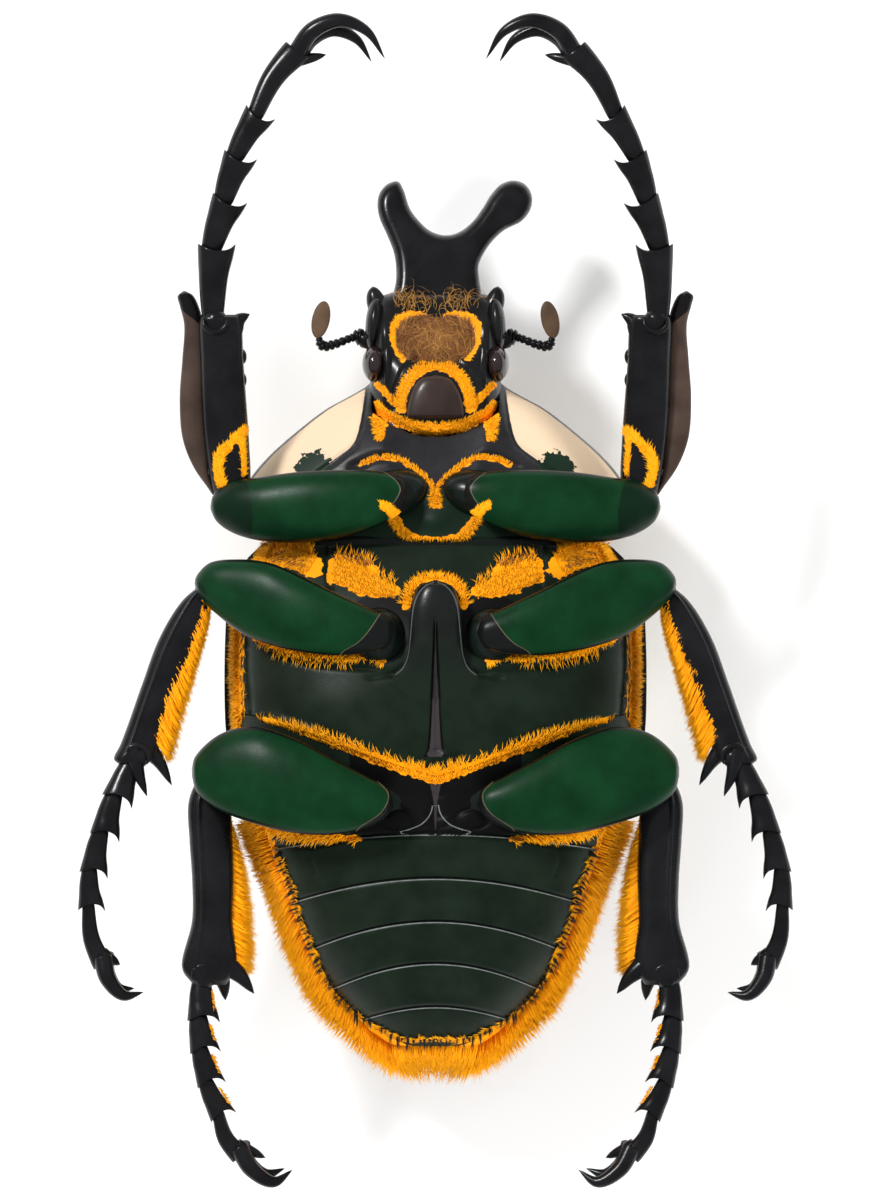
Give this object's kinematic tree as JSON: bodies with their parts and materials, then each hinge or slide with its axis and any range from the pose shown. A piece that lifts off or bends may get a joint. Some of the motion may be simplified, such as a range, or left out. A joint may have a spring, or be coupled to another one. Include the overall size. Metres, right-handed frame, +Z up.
{
  "type": "goliath beetle",
  "caption": "still life-size goliath beetle lying on its wing cases, underside up, with forked horn, spread clawed legs and bristly fringes",
  "frame": {"origin": "on the floor under the middle of the beetle's bounding box", "axes": "+Y runs along the body towards the horn and front claws, +X to the beetle's own left, and +Z up out of its underside, because it lies on its back"},
  "size_m": [0.0798, 0.13, 0.033],
  "materials": {
    "shell": "glossy charcoal black chitin of the horn, shins, feet and claws",
    "green_shell": "deep glossy green chitin of the thighs",
    "plate": "green-black body plates with orange hair along their seams",
    "cream_shield": "chalky cream with black stripes above",
    "wing_case": "velvety maroon brown with cream shoulders",
    "brown_shell": "satin brown antenna club",
    "eye": "smooth dark brown eye"
  },
  "bodies": {
    "root": {"head": "plate", "horn": "shell", "chin_plate": "shell", "left_eye": "eye", "left_antenna": "shell", "left_antenna_club": "brown_shell", "right_eye": "eye", "right_antenna": "shell", "right_antenna_club": "brown_shell", "pronotum": "cream_shield", "prosternum": "plate", "thorax": "plate", "keel": "shell", "abdomen": "plate", "tail_plate": "plate", "left_wing_case": "wing_case", "right_wing_case": "wing_case", "scutellum": "shell", "left_front_coxa": "shell", "left_front_femur": "green_shell", "left_front_tibia": "shell", "left_front_foot": "shell", "left_front_claws": "shell", "left_middle_coxa": "shell", "left_middle_femur": "green_shell", "left_middle_tibia": "shell", "left_middle_foot": "shell", "left_middle_claws": "shell", "left_hind_coxa": "shell", "left_hind_femur": "green_shell", "left_hind_tibia": "shell", "left_hind_foot": "shell", "left_hind_claws": "shell", "right_front_coxa": "shell", "right_front_femur": "green_shell", "right_front_tibia": "shell", "right_front_foot": "shell", "right_front_claws": "shell", "right_middle_coxa": "shell", "right_middle_femur": "green_shell", "right_middle_tibia": "shell", "right_middle_foot": "shell", "right_middle_claws": "shell", "right_hind_coxa": "shell", "right_hind_femur": "green_shell", "right_hind_tibia": "shell", "right_hind_foot": "shell", "right_hind_claws": "shell"}
  },
  "joints": []
}
